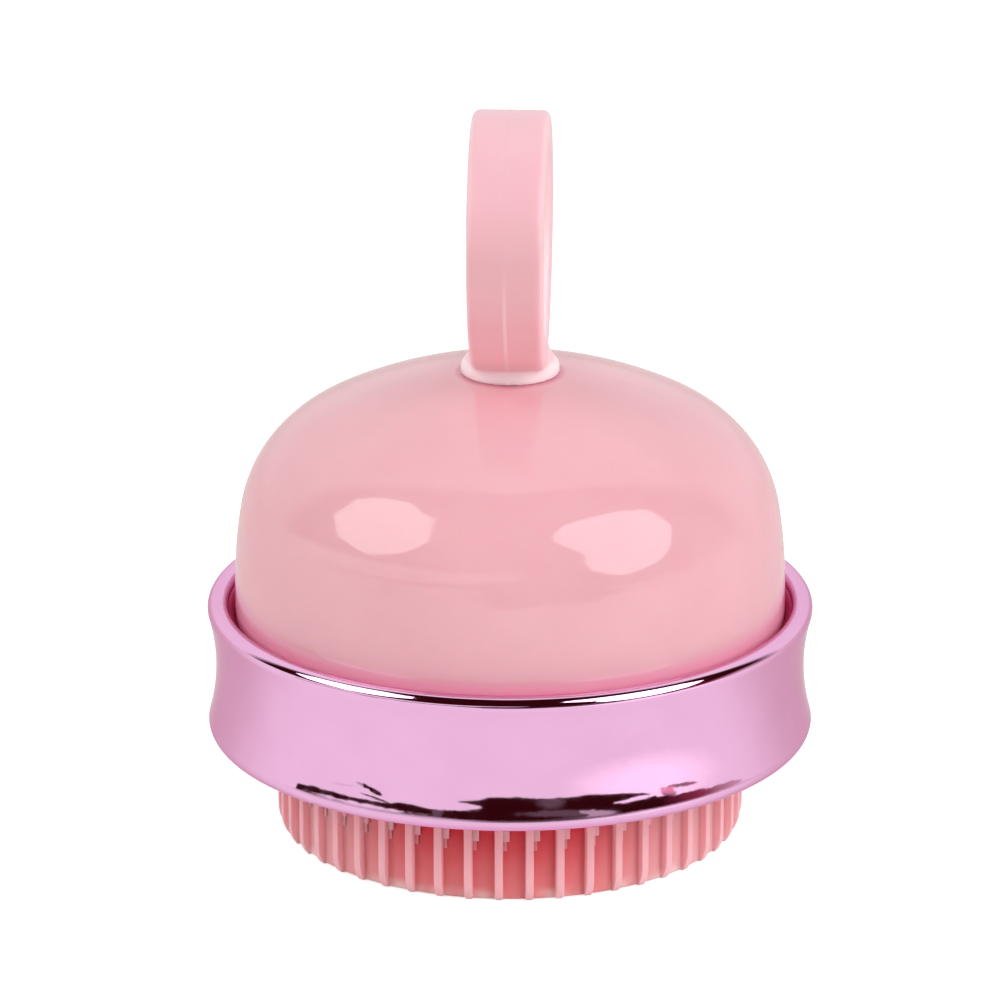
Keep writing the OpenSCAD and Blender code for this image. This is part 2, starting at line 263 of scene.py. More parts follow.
def post_parts():
    """Screw posts. Their tops end inside the dome's wall, so they follow its curve."""
    verts, faces = turned([
        [0, CORE_TOP + POST_BORE_H], [POST_BORE_R, CORE_TOP + POST_BORE_H],
        [POST_BORE_R, CORE_TOP], [POST_R, CORE_TOP], [POST_R, DOME_TOP], [0, DOME_TOP],
    ], segments=32, closed=False)
    verts = np.asarray(verts, float) + [POST_AT, 0, 0]
    middle = dome_curve(DOME_WALL / 2, steps=24)[::-1]
    top = verts[:, 2] > DOME_TOP - 1
    reach = np.hypot(verts[top, 0], verts[top, 1])
    verts[top, 2] = np.interp(reach, middle[:, 0], middle[:, 1])
    turns = [turn(k * 2 * math.pi / POST_COUNT) for k in range(POST_COUNT)]
    return [((verts @ each).tolist(), faces) for each in turns]


def build_dome():
    outer = dome_curve(0, steps=16)
    inner = dome_curve(DOME_WALL, steps=16)
    in_r = DOME_R - DOME_WALL
    seat_r = math.sqrt(CROWN_R ** 2 - (CROWN_R - CROWN_SEAT) ** 2)
    boss_top = DOME_TOP - CROWN_R + math.sqrt((CROWN_R - DOME_WALL) ** 2 - BOSS_R ** 2)
    wall = [[in_r, DOME_FOOT], [DOME_R, DOME_FOOT], [DOME_R, WIDEST_Z], [in_r, WIDEST_Z]]
    lower_edge = rounded(wall, (*DOME_EDGES, 0, 0), steps=4)[:-2]
    # Points of the two curves that lie too close to the next corner are left out
    profile = np.concatenate([
        lower_edge,
        outer[outer[:, 0] > seat_r + 0.05],
        [[seat_r, SEAT_Z], [BORE_R + BORE_BEVEL, SEAT_Z], [BORE_R, SEAT_Z - BORE_BEVEL]],
        [[BORE_R, SEAT_Z - BOSS_H], [BOSS_R, SEAT_Z - BOSS_H], [BOSS_R, boss_top]],
        inner[inner[:, 0] > BOSS_R + 0.2][::-1],
    ])
    return mesh_object("dome", *joined([turned(profile, segments=256)] + post_parts()))


# ---- Plated band ----

def waist_arc():
    """The waist's radius, and the angle of its ends, in degrees up or down from level."""
    half = (BAND_HIGH[2] - BAND_LOW[2]) / 2 - LIP_R
    waist_in = LIP_R - WAIST_DEPTH
    waist_r = (half ** 2 + waist_in ** 2 - LIP_R ** 2) / (2 * (LIP_R - waist_in))
    return waist_r, math.degrees(math.asin(half / (waist_r + LIP_R)))


def build_band():
    lip_at = BAND_HIGH[0] - LIP_R
    in_r = lip_at - LIP_R
    ledge_r = in_r - LEDGE_W
    edge_r = DOME_R + GROOVE_GAP
    z0, z1 = BAND_LOW[2], BAND_HIGH[2]
    low_z, high_z = z0 + LIP_R, z1 - LIP_R
    edge_top, edge_low, edge_root = (high_z - down for down in GROOVE_EDGE)
    waist_r, touch = waist_arc()
    waist_at = lip_at + LIP_R - WAIST_DEPTH + waist_r
    ledge_z = z0 + LEDGE_T
    ledge = rounded(
        [[lip_at, ledge_z], [in_r, ledge_z], [ledge_r, ledge_z], [ledge_r, z0], [lip_at, z0]],
        [0, 0, LEDGE_ROUND, LEDGE_ROUND, 0], steps=4)[1:-1]
    profile = np.concatenate([
        ledge,
        arc([lip_at, low_z], LIP_R, -90, touch, steps=32),
        arc([waist_at, (z0 + z1) / 2], waist_r, 180 + touch, 180 - touch, steps=40)[1:-1],
        arc([lip_at, high_z], LIP_R, -touch, 180, steps=48),
        # A thin edge that closes the groove round the dome
        [[edge_r, edge_top], [edge_r, edge_low], [in_r, edge_root]],
    ])
    return mesh_object("trim_band_plated", *turned(profile, segments=320))


# ---- Finger ring: one soft-edged form from its distance field ----

def soft_corner(u, v, radius):
    """Distance to a form with a rounded corner, from how far a point is past its two flat parts."""
    outside = np.hypot(np.maximum(u, 0), np.maximum(v, 0))
    return outside + np.minimum(np.maximum(u, v), 0) - radius


def ring_field(x, y, z):
    """Distance to the ring's surface, less than 0 inside."""
    loop_r = RING_HIGH[1]
    loop_z = RING_HIGH[2] - loop_r
    half_w = LOOP_W / 2 + LOOP_FLARE * (z - loop_z) / loop_r
    out = np.hypot(y, z - loop_z)
    loop = soft_corner(
        np.abs(out - (loop_r - LOOP_WALL / 2)) - (LOOP_WALL / 2 - LOOP_ROUND),
        np.abs(x) - (half_w - LOOP_ROUND), LOOP_ROUND)
    # The mould's parting line stands a hair proud on the loop's outer face
    loop = loop - SEAM_H * np.exp(-(x / SEAM_W) ** 2) * (out > loop_r - LOOP_WALL / 2)

    foot_z0, foot_r = RING_LOW[2], RING_HIGH[0]
    foot_z1 = foot_z0 + FOOT_T
    foot = soft_corner(
        np.hypot(x, y) - (foot_r - FOOT_ROUND),
        np.abs(z - (foot_z1 - FOOT_REACH)) - (FOOT_REACH - FOOT_ROUND), FOOT_ROUND)

    blend = np.maximum(JOIN_R - np.abs(loop - foot), 0) / JOIN_R
    form = np.minimum(loop, foot) - blend ** 2 * JOIN_R / 4
    form = np.maximum(form, foot_z0 - z)
    bore = np.maximum(np.hypot(x, y) - STEM_R, z - foot_z1)
    head = np.maximum(np.hypot(x, y) - HEAD_R, np.abs(z - foot_z1 - HEAD_TOP / 2) - HEAD_TOP / 2)
    return np.maximum(form, -np.minimum(bore, head))


def surface_net(xs, ys, zs, field):
    """Closed mesh of the field's zero level: one point in each cell that the surface crosses."""
    grid = np.meshgrid(xs, ys, zs, indexing="ij")
    d = field(*grid)
    cells = tuple(n - 1 for n in d.shape)
    total, count = np.zeros(cells + (3,)), np.zeros(cells)
    crossings = []
    for axis in range(3):
        low = tuple(slice(0, -1) if k == axis else slice(None) for k in range(3))
        high = tuple(slice(1, None) if k == axis else slice(None) for k in range(3))
        d0, d1 = d[low], d[high]
        cross = (d0 < 0) != (d1 < 0)
        share = np.where(cross, d0 / np.where(cross, d0 - d1, 1), 0)
        at = np.stack([g[low] for g in grid], -1)
        at[..., axis] += share * (grid[axis][high] - grid[axis][low])
        u, v = (k for k in range(3) if k != axis)
        for shift_u, shift_v in ((0, 0), (0, 1), (1, 0), (1, 1)):
            window = [slice(None)] * 3
            window[u] = slice(shift_u, shift_u + cells[u])
            window[v] = slice(shift_v, shift_v + cells[v])
            hit = cross[tuple(window)]
            total += at[tuple(window)] * hit[..., None]
            count += hit
        crossings.append((cross, d0 < 0))
    used = count > 0
    number = np.full(cells, -1)
    number[used] = np.arange(used.sum())
    verts = total[used] / count[used][:, None]

    faces = []
    for axis, (cross, inside) in enumerate(crossings):
        u, v = (axis + 1) % 3, (axis + 2) % 3
        where = np.argwhere(cross)
        at_u, at_v = where[:, u], where[:, v]
        where = where[(at_u > 0) & (at_v > 0) & (at_u < cells[u]) & (at_v < cells[v])]
        quad = []
        for du, dv in ((-1, -1), (0, -1), (0, 0), (-1, 0)):
            at = where.copy()
            at[:, u] += du
            at[:, v] += dv
            quad.append(number[tuple(at.T)])
        quad = np.stack(quad, 1)
        flip = ~inside[tuple(where.T)]
        quad[flip] = quad[flip][:, ::-1]
        faces.append(quad)

    # Each point then moves along the field's slope on to the surface
    step, rounds, least_slope = 0.01, 3, 0.2
    for _ in range(rounds):
        slope = np.stack([
            (field(*(verts + offset).T) - field(*(verts - offset).T)) / (2 * step)
            for offset in np.eye(3) * step], 1)
        share = field(*verts.T) / np.maximum((slope ** 2).sum(1), least_slope)
        verts -= slope * share[:, None]
    return verts, np.concatenate(faces).tolist()


def build_ring():
    margin, cell = 0.6, 0.3
    # Finer cells across the parting line, and no level of points in the foot's flat face
    fine_x = np.arange(0.03, 0.42, 0.06)
    half_x = np.concatenate([fine_x, np.arange(0.55, RING_HIGH[0] + margin, cell)])
    xs = np.concatenate([-half_x[::-1], half_x])
    ys = np.arange(RING_LOW[1] - margin, RING_HIGH[1] + margin, cell)
    zs = np.arange(RING_LOW[2] - margin + 0.07, RING_HIGH[2] + margin, cell)
    return mesh_object("finger_loop_soft", *surface_net(xs, ys, zs, ring_field), sharp_deg=50)


# ---- Bristle pad ----

PAD_TOP = PAD_HIGH[2]
PAD_UNDER = PAD_TOP - SHEET_T       # underside of the pad's sheet


def rim_outline():
    """Plan of the ribbed rim, anticlockwise: points and outward normals."""
    pitch = 2 * math.pi / RIB_COUNT
    rib_r = RIM_R + RIB_OUT
    root_x, edge_x = RIB_W / 2 + RIB_ROOT, RIB_W / 2 - RIB_EDGE
    root_y = math.sqrt((RIM_R + RIB_ROOT) ** 2 - root_x ** 2)
    edge_y = math.sqrt((rib_r - RIB_EDGE) ** 2 - edge_x ** 2)
    pts, normals = [(0, rib_r)], [(0, 1)]

    def add(x, y, radius, normal):
        """A point at a radius from (x, y), along its normal."""
        pts.append((x + radius * normal[0], y + radius * normal[1]))
        normals.append(normal)

    # Right half of a rib, along +Y, from its middle over its edge and root to the valley's middle
    for t in np.linspace(math.atan2(edge_y, edge_x), 0, 7):
        add(edge_x, edge_y, RIB_EDGE, (math.cos(t), math.sin(t)))
    for t in np.linspace(-math.pi, math.atan2(-root_y, -root_x), 6):
        add(root_x, root_y, -RIB_ROOT, (-math.cos(t), -math.sin(t)))
    valley = math.atan2(*pts[-1])
    for t in np.linspace(valley, pitch / 2, 6)[1:]:
        add(0, 0, RIM_R, (math.sin(t), math.cos(t)))

    # The left half mirrors it, without the shared middles, and the whole goes round the rim
    turns = [turn(k * pitch - math.pi / 2)[:2, :2] for k in range(RIB_COUNT)]
    rim = []
    for half in (np.array(pts), np.array(normals)):
        rib = np.concatenate([(half * [-1, 1])[:0:-1], half])[:0:-1]
        rim.append(np.concatenate([rib @ each for each in turns]))
    return rim


def sheet_part():
    """The pad's sheet with its rim, in rings from the middle underneath to the middle on top."""
    points, normals = rim_outline()
    angles = np.arctan2(points[:, 1], points[:, 0])
    fade_r = (RIB_FADE_H ** 2 + RIB_FADE ** 2) / (2 * RIB_FADE)

    def outline(inset, z):
        """The rim's plan at a height, with the ribs lower towards their lower end."""
        p = points - normals * inset
        below = max(RIB_FADE_H - z, 0)
        lower_by = (fade_r - math.sqrt(fade_r ** 2 - below ** 2)) / RIB_OUT
        reach = np.hypot(p[:, 0], p[:, 1])
        p = p * ((reach - np.maximum(reach - RIM_R, 0) * lower_by) / reach)[:, None]
        return np.column_stack([p, np.full(len(p), z)]).tolist()

    def quarter(steps):
        """Sine and cosine through a right angle."""
        return [(math.sin(t), math.cos(t)) for t in np.radians(np.linspace(0, 90, steps + 1))]

    in_r, sheet_r = RIM_R - RIM_WALL, PAD_HIGH[0]
    rings = [[(0, 0, PAD_UNDER)]]
    rings += [circle(r, PAD_UNDER, angles) for r in (6, 14, 22)]
    e = RIM_ROOT
    rings += [circle(in_r - e + e * s, PAD_UNDER - e + e * c, angles) for s, c in quarter(4)]
    e = RIM_EDGE_IN
    rings += [circle(in_r + e - e * c, e - e * s, angles) for s, c in quarter(4)]
    e = RIM_EDGE_OUT
    rings += [outline(e - e * s, e - e * c) for s, c in quarter(5)]
    # Levels lie closer together where the ribs fade
    rings += [outline(0, z) for z in (0.7, 1.2, 1.8, RIB_FADE_H, 6, 11, PAD_UNDER)]
    rings += [circle(sheet_r, PAD_UNDER, angles)]
    rings += [circle(r, PAD_TOP, angles) for r in (sheet_r, 24, 12)]
    rings += [[(0, 0, PAD_TOP)]]
    return stitch(rings)


def gusset_part(angle, wide, deep, low):
    """A small step that stiffens the root of a rib on one side."""
    out, along, _ = turn(angle)
    near, far = (RIM_R - GUSSET_BITE) * out, (RIM_R + deep) * out
    aside = (RIB_W / 2 + wide) * along
    plan = (near, far, far + aside, near + aside)
    verts = [p + [0, 0, z] for z in (low, PAD_UNDER + BITE) for p in plan]
    sides = [(i, (i + 1) % 4, (i + 1) % 4 + 4, i + 4) for i in range(4)]
    return verts, [(3, 2, 1, 0), (4, 5, 6, 7)] + sides


def bristle_part():
    tip, root, flare, end = BRISTLE_TIP_R, BRISTLE_ROOT_R, BRISTLE_FLARE, BRISTLE_SHORT
    tip_h = 0.8 * tip
    profile = [[0, end]]
    profile += [
        [tip * math.sin(t), end + tip_h * (1 - math.cos(t))]
        for t in np.radians([25, 50, 72, 90])]
    profile += [[tip + (root - tip) * s, end + (PAD_UNDER - end) * s] for s in (0.35, 0.7)]
    profile += [
        [root + flare * (1 - math.cos(t)), PAD_UNDER - flare + flare * math.sin(t)]
        for t in np.radians([0, 30, 60, 85])]
    profile += [[root + flare, PAD_UNDER + BITE], [0, PAD_UNDER + BITE]]
    return turned(profile, segments=20, closed=False)


def build_pad():
    parts = [sheet_part()]
    for k in range(RIB_COUNT):
        parts += [gusset_part(k * 2 * math.pi / RIB_COUNT, *row) for row in GUSSETS]
    bristle = bristle_part()
    for row in range(BRISTLE_ROWS + 1):
        reach, count = row * BRISTLE_PITCH, max(6 * row, 1)
        for k in range(count):
            a = k * 2 * math.pi / count
            parts.append(moved(bristle, (reach * math.cos(a), reach * math.sin(a), 0)))
    return mesh_object("bristle_pad_soft", *joined(parts), sharp_deg=40)


# ---- Node helpers ----

class Nodes:
    """A node tree and helpers that add nodes to it.

    What a helper takes is a number, a colour or another node's output. Lengths are in its unit.
    """

    def __init__(self, tree, coordinates=None, unit=1):
        self.tree, self.unit = tree, unit
        if coordinates:
            self.place = self.node("ShaderNodeTexCoord").outputs[coordinates]

    def put(self, socket, value):
        """Link or set an input."""
        if hasattr(value, "links"):
            self.tree.links.new(value, socket)
        else:
            socket.default_value = (*value, 1) if socket.type == "RGBA" else value

    def node(self, kind, inputs=(), **settings):
        """A new node with its settings, and its inputs by name or number."""
        n = self.tree.nodes.new(kind)
        for key, value in settings.items():
            setattr(n, key, value)
        for key, value in dict(inputs).items():
            self.put(n.inputs[key], value)
        return n

    def xyz(self):
        """The three coordinates."""
        return self.node("ShaderNodeSeparateXYZ", {"Vector": self.place}).outputs

    def math(self, operation, *values, clamp=False):
        n = self.node("ShaderNodeMath", enumerate(values), operation=operation, use_clamp=clamp)
        return n.outputs[0]

    def product(self, first, *others):
        for value in others:
            first = self.math("MULTIPLY", first, value)
        return first

    def length(self, a, b):
        """Length of the diagonal of two sides."""
        return self.math("SQRT", self.math("ADD", self.product(a, a), self.product(b, b)))

    def noise(self, size, detail=3, roughness=0.55, stretch=None):
        """Noise with features of a size, which get smaller along an axis by its stretch."""
        at = self.place
        if stretch:
            at = self.node("ShaderNodeMapping", {"Vector": at, "Scale": stretch}).outputs["Vector"]
        return self.node("ShaderNodeTexNoise", {
            "Vector": at, "Scale": 1 / (size * self.unit), "Detail": detail, "Roughness": roughness,
        }).outputs["Fac"]

    def spread(self, value, low, high, start=0.3, end=0.7, smooth=False):
        """A number from low to high, while a value goes from start to end."""
        return self.node("ShaderNodeMapRange", {
            "Value": value, "From Min": start, "From Max": end, "To Min": low, "To Max": high,
        }, interpolation_type="SMOOTHSTEP" if smooth else "LINEAR").outputs["Result"]

    def grade(self, value, low, high, start, end, smooth=True):
        """The same, while a length goes from start to end."""
        return self.spread(value, low, high, start * self.unit, end * self.unit, smooth)

    def wander(self, size, detail, low, high):
        """A number that wanders between two limits in patches of a size."""
        return self.spread(self.noise(size, detail), low, high)

    def mix(self, share, a, b):
        """A colour between two."""
        n = self.node("ShaderNodeMix", data_type="RGBA")
        sockets = {s.identifier: s for s in (*n.inputs, *n.outputs)}
        for key, value in (("Factor_Float", share), ("A_Color", a), ("B_Color", b)):
            self.put(sockets[key], value)
        return sockets["Result_Color"]

    def ramp(self, value, stops):
        """Colours at given lengths, blended in between."""
        first, last = stops[0][0], stops[-1][0]
        share = self.grade(value, 0, 1, first, last, smooth=False)
        n = self.node("ShaderNodeValToRGB", {"Fac": share})
        marks = n.color_ramp.elements       # two at first, at the ramp's ends
        for at, _ in stops[1:-1]:
            marks.new((at - first) / (last - first))
        for mark, (_, colour) in zip(marks, stops):
            mark.color = (*colour, 1)
        return n.outputs["Color"]


class Shader(Nodes):
    """A material with a Principled shader, and its lengths in millimetres."""

    def __init__(self, name, **sockets):
        self.name = name
        self.mat = bpy.data.materials.new(name)
        self.mat.use_nodes = True
        super().__init__(self.mat.node_tree, "Object", MM)
        self.take(**sockets)

    def take(self, **sockets):
        """Inputs of the shader, by their names with _ for a space."""
        for key, value in sockets.items():
            self.put(self.tree.nodes["Principled BSDF"].inputs[key.replace("_", " ")], value)

    def bump(self, *layers):
        """Relief in layers of height and depth, each laid over the one before."""
        normal = {}
        for height, depth in layers:
            n = self.node("ShaderNodeBump", {"Height": height, "Distance": depth * MM, **normal})
            normal = {"Normal": n.outputs["Normal"]}
        self.take(**normal)


# ---- Materials ----

def moulded(name, colour, roughness, variation=0.06, grain=0.35, grain_depth=0.01):
    """Moulded plastic or rubber: cloudy tone, fine grain, roughness that varies."""
    m = Shader(name)
    dark = tuple(c * (1 - variation) for c in colour)
    m.take(Base_Color=m.mix(m.wander(9, 4, 0, 1), dark, colour),
           Roughness=m.wander(2.5, 4, roughness * 0.85, roughness * 1.15))
    m.bump((m.noise(grain, 2), grain_depth))
    return m


def turned_steel(name, colour):
    """Machined steel: fine turning marks round the axis."""
    m = Shader(name, Metallic=1.0, Anisotropic=0.4)
    dark = tuple(c * 0.86 for c in colour)
    marks = m.noise(0.25, 3, stretch=(0.12, 0.12, 3))
    m.take(Base_Color=m.mix(m.wander(3, 4, 0, 1), dark, colour),
           Roughness=m.spread(marks, 0.2, 0.36))
    m.bump((marks, 0.006))
    return m


def dome_material():
    m = Shader("dome_gloss", IOR=1.5, Specular_IOR_Level=0.5, Subsurface_Weight=0.3,
               Subsurface_Scale=0.003, Subsurface_Radius=(1.0, 0.35, 0.45))
    x, y, z = m.xyz()
    body = m.mix(m.wander(14, 4, 0, 1), (0.735, 0.382, 0.425), (0.765, 0.408, 0.450))
    # Painted shade: a darker pink ring round the ring's foot, for its contact shadow
    foot_r = RING_HIGH[0]
    foot_contact_shade = m.product(
        m.grade(m.length(x, y), 0.75, 0, foot_r + 0.1, foot_r + 1.1),
        m.grade(z, 0, 1, SEAT_Z - 3, SEAT_Z - 2, smooth=False))
    body = m.mix(foot_contact_shade, body, (0.62, 0.16, 0.25))
    # Painted reflection and shade: a hotter pink where the dome runs down into the band, for the
    # pink band mirrored in it and the lip's shade
    deep = m.grade(z, 1, 0, BAND_HIGH[2] - 1, BAND_HIGH[2] + 1.6)
    m.take(Base_Color=m.mix(deep, body, (0.98, 0.39, 0.54)), Roughness=m.wander(1.6, 5, 0.05, 0.09))
    m.bump((m.noise(11, 2), 0.05), (m.noise(3.4, 2), 0.018))
    return m


def band_material():
    m = Shader("plated_band", Metallic=1.0, Specular_Tint=(0.86, 0.68, 0.78))
    x, y, z = m.xyz()
    plate = m.mix(m.wander(8, 3, 0, 1), (0.85, 0.475, 0.725), (0.88, 0.50, 0.755))
    # Painted reflection and shade: down in the groove the band is tinted deep crimson, for the pink
    # dome mirrored in it and the groove's shade, and it is rougher there
    lip_at = BAND_HIGH[0] - LIP_R
    groove_shade_and_reflection = m.product(
        m.grade(m.length(x, y), 1, 0, lip_at - 1.2, lip_at - 0.4),
        m.grade(z, 1, 0, BAND_HIGH[2] - 1.9, BAND_HIGH[2] - 0.6),
        m.grade(z, 0, 1, BAND_LOW[2] + 3, BAND_LOW[2] + 5, smooth=False))
    # The lower lip is less smooth than the waist above it
    lip_end = BAND_LOW[2] + LIP_R * (1 + math.sin(math.radians(waist_arc()[1])))
    worn = m.grade(z, 0.18, 0, lip_end, lip_end + 0.22, smooth=False)
    polish = m.math("ADD", m.wander(1.4, 5, 0.03, 0.055), worn)
    m.take(Base_Color=m.mix(groove_shade_and_reflection, plate, (0.62, 0.07, 0.22)),
           Roughness=m.math("ADD", polish, m.product(groove_shade_and_reflection, 0.35)))
    m.bump((m.noise(0.5, 2), 0.0015), (m.noise(7, 2), 0.02))
    return m


def ring_material():
    m = Shader("ring_matte", Specular_IOR_Level=0.7, Sheen_Weight=0.25, Sheen_Roughness=0.4,
               Subsurface_Weight=0.3, Subsurface_Scale=0.0018, Subsurface_Radius=(1.0, 0.45, 0.45))
    x, y, z = m.xyz()
    foot_top = RING_LOW[2] + FOOT_T
    loop_r = RING_HIGH[1]
    loop_z = RING_HIGH[2] - loop_r
    # Painted light: paler and warmer towards the foot, for light bounced off the pink dome, and a
    # little paler towards the top, where light falls from above
    tone = m.ramp(z, (
        (loop_z - 13, (0.95, 0.50, 0.545)), (loop_z - 7.5, (0.825, 0.41, 0.445)),
        (loop_z + 1.5, (0.71, 0.375, 0.405)), (loop_z + 9, (0.77, 0.43, 0.48)),
        (loop_z + loop_r, (0.80, 0.47, 0.52))))
    body = m.mix(m.wander(7, 4, 0, 0.12), tone, (0.70, 0.36, 0.40))
    # Painted light: paler on the loop's sides and in its hole, where light falls on them and comes
    # through, and on the foot, which lies in the loop's shade; a painted highlight makes the
    # parting line above the foot paler too
    aside = m.math("ABSOLUTE", x)
    up = m.math("SUBTRACT", z, loop_z * MM)
    side = m.grade(aside, 0, 0.3, LOOP_W / 2 - 0.7, LOOP_W / 2 - 0.1)
    hole_r = loop_r - LOOP_WALL
    hole = m.grade(m.length(y, up), 0.6, 0, hole_r + 0.1, hole_r + 0.6)
    foot = m.grade(z, 1, 0, foot_top - 0.5, foot_top + 0.3)
    parting_highlight = m.product(m.grade(aside, 0.35, 0, 0.1, 0.38), m.grade(up, 1, 0, -9, 3))
    painted_light = m.math("MAXIMUM", m.math("MAXIMUM", side, hole), m.math("MAXIMUM", foot, parting_highlight))
    m.take(Base_Color=m.mix(painted_light, body, (1.0, 0.78, 0.80)), Roughness=m.wander(1.2, 4, 0.4, 0.52))
    m.bump((m.noise(0.22, 2), 0.012))
    return m


def pad_material():
    m = Shader("pad_silicone", IOR=1.42, Specular_IOR_Level=0.15, Subsurface_Weight=0.5,
               Subsurface_Scale=0.0015, Subsurface_Radius=(1.0, 0.35, 0.3))
    x, y, z = m.xyz()
    # Deep red between the ribs, partly the thin wall's own colour and partly painted shade in the
    # hollows, and paler in the ribs; both are darker towards the top, as painted shade under the
    # band, and paler towards the lower edge
    low = m.grade(z, 1, 0, -4, 10, smooth=False)
    valley = m.mix(low, (0.68, 0.015, 0.035), (0.93, 0.40, 0.40))
    bar = m.mix(low, (1.0, 0.45, 0.49), (0.98, 0.62, 0.65))
    # Painted light: paler at the two sides, where the lamps light the rim more
    side = m.grade(m.math("ABSOLUTE", x), 0, 0.8, 9, 26)
    valley = m.mix(side, valley, (0.86, 0.50, 0.515))
    # Painted light: pale spots here and there on the thin lower edge, for light that comes through
    # it
    here_and_there = m.spread(m.noise(6, 2), 0, 1, 0.44, 0.6)
    edge = m.product(m.grade(z, 0.8, 0, 0.3, 1.9), here_and_there)
    valley = m.mix(edge, valley, (0.98, 0.72, 0.70))
    tone = m.mix(m.grade(m.length(x, y), 0, 1, RIM_R + 0.05, RIM_R + 0.6), valley, bar)
    m.take(Base_Color=m.mix(m.wander(3, 4, 0, 0.1), tone, (0.80, 0.36, 0.38)),
           Roughness=m.wander(1.1, 4, 0.34, 0.48))
    m.bump((m.noise(0.3, 2), 0.01))
    return m


made = {m.name: m.mat for m in (
    dome_material(),
    band_material(),
    ring_material(),
    pad_material(),
    moulded("base_plastic", (0.70, 0.22, 0.30), 0.42),
    moulded("inner_plastic", (0.76, 0.42, 0.47), 0.45),
    moulded("acetal", (0.83, 0.8, 0.73), 0.38, variation=0.04),
    moulded("seal_rubber", (0.02, 0.02, 0.022), 0.6, variation=0.3, grain=0.2, grain_depth=0.015),
    turned_steel("stem_steel", (0.62, 0.61, 0.6)),
    turned_steel("screw_steel", (0.66, 0.65, 0.63)),
)}


def dress(obj, slot, body, node):
    obj.data.materials.append(made[slot])
    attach(obj, body)
    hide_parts(node)


dress(build_dome(), "dome_gloss", "dome", "dome_shell")
dress(build_band(), "plated_band", "brush_head", "trim_band")
dress(build_ring(), "ring_matte", "finger_loop", "finger_ring")
dress(build_pad(), "pad_silicone", "brush_head", "bristle_pad")

for row in frame["record"]["subparts"]:
    for place in frame["nodes"][row["node"]].material_slots:
        place.material = made[row["material_slot"]]


# ---- Studio: pale floor, two soft lights, and pale surroundings with a dark room in front ----

FLOOR_DROP = 0.05       # keeps the floor just clear of the rim

# Soft lights: flat outlines by azimuth from the front, towards +X, and elevation, in degrees
SOFTBOX_AT = 1300
SOFTBOX_Z = 45          # level that they face
SOFTBOX_LEFT = (
    (-90.7, 30), (-91.5, 38), (-94.1, 44), (-91.7, 50.8), (-80.8, 58.1), (-73.4, 60.1),
    (-59.3, 57.8), (-46.5, 55.5), (-40.6, 46), (-38.2, 40.2), (-40, 34.3), (-45.9, 25.7),
    (-60.4, 16.4), (-69.3, 18.7), (-79.2, 20.1))
SOFTBOX_RIGHT = (
    (25.2, 43.1), (27.6, 48.7), (34.5, 54.8), (51.1, 56.8), (71.8, 54.4), (78.8, 51.9),
    (86.3, 45.2), (84.9, 37.8), (84.8, 30.3), (78.5, 21.8), (71, 12.7), (58.5, 9.1), (51.5, 8.5),
    (45.8, 9.6), (37.1, 15.5), (35.1, 23.3), (37.3, 29.2), (32, 34.5))

AMBIENT = 0.565
AMBIENT_BACK = 0.12     # how much brighter the sky is behind than at the side
AMBIENT_RIGHT = 0.04    # and at the right
SEEN_COLOUR = (0.98, 0.98, 0.98)

# What mirror images show: a dark room down to an edge, by azimuth and elevation, and a pale table
ROOM_FRONT = (4, 104, 120)      # azimuth of its middle, and how far from it the room fades out
ROOM_EDGE = (
    (-120, 4), (-85, 4), (-82.5, -1.8), (-67, -0.5), (-58, 1.1), (-48, 2.2), (-38, 1.5),
    (-27, 3), (-17.5, 3.5), (-16.5, -1), (-12, -1.9), (-4.6, -3.7), (6, -3.9), (17, -3.1),
    (36, -3.8), (46, -3.2), (52, -2.4), (57, -1.4), (59, 0.4), (68, 0.2), (77, -0.5),
    (87, -1.3), (93, -2), (120, -2))
EDGE_RANGE = 10         # the edge's greatest elevation, up or down
EDGE_RAGGED = 2.5
EDGE_SOFT = 0.25
ROOM_COLOUR = (0.032, 0.003, 0.004)
TABLE_BRIGHTNESS = 0.97
TABLE_COLOUR = (1, 1, 1)
TABLE_FAR = (0.82, 0.74, 0.72)          # far out at the sides
TABLE_UNDER = (0.93, 0.76, 0.85)        # right under the object

# Azimuth, elevation, half width, half height, slope, share, raggedness and softness of patches
ROOM_LIGHT = (
    (-17, 1.5, 9, 1.8, 0.0, 1.0, 0.5, 0.06),
    (-24, 3.5, 2, 5, 0.0, 0.1, 0.5, 0.3),
    (18, -1.5, 4.5, 4, 0.0, 0.1, 1.0, 0.5),
    (24, 5.3, 17, 1.6, 0.02, 0.1, 0.8, 0.3),
    (35, 5.4, 7, 1.2, 0.1, 0.45, 0.8, 0.2),
    (51, 0, 10, 0.8, -0.13, 1.0, 0.8, 0.08),
    (101, 0, 14, 10, 0.0, 0.5, 0.3, 0.8),
    (-52, 9, 60, 5.6, 0.12, 1.0, 0.3, 0.06))
ROOM_DARK = (
    (-49.3, -3.2, 4, 1.1, 0.45, 1.0, 1.5, 0.08),
    (-54, -5, 2.5, 0.6, 0.3, 0.5, 1.5, 0.3),
    (-47.5, 0.5, 7, 0.45, 0.28, 0.95, 0.8, 0.1),
    (-62, -4, 5, 0.5, 0.0, 0.15, 1.0, 0.5),
    (68.5, -3.6, 7.5, 0.8, -0.03, 0.85, 1.5, 0.15),
    (63.5, -1.6, 3, 2.2, 0.0, 0.85, 2.0, 0.2))
ROOM_ROSE = (94, -1, 24, 12, 0.0, 1.0, 0.3, 0.6)
ROSE_COLOUR = (0.30, 0.05, 0.09)
ROOM_BLUSH = (63.5, -2.2, 4, 1.6, 0.0, 1.0, 1.5, 0.4)
BLUSH_COLOUR = (0.85, 0.28, 0.38)
TABLE_LIGHT = (56, -8, 24, 10, 0.0, 0.36, 0.3, 0.6)


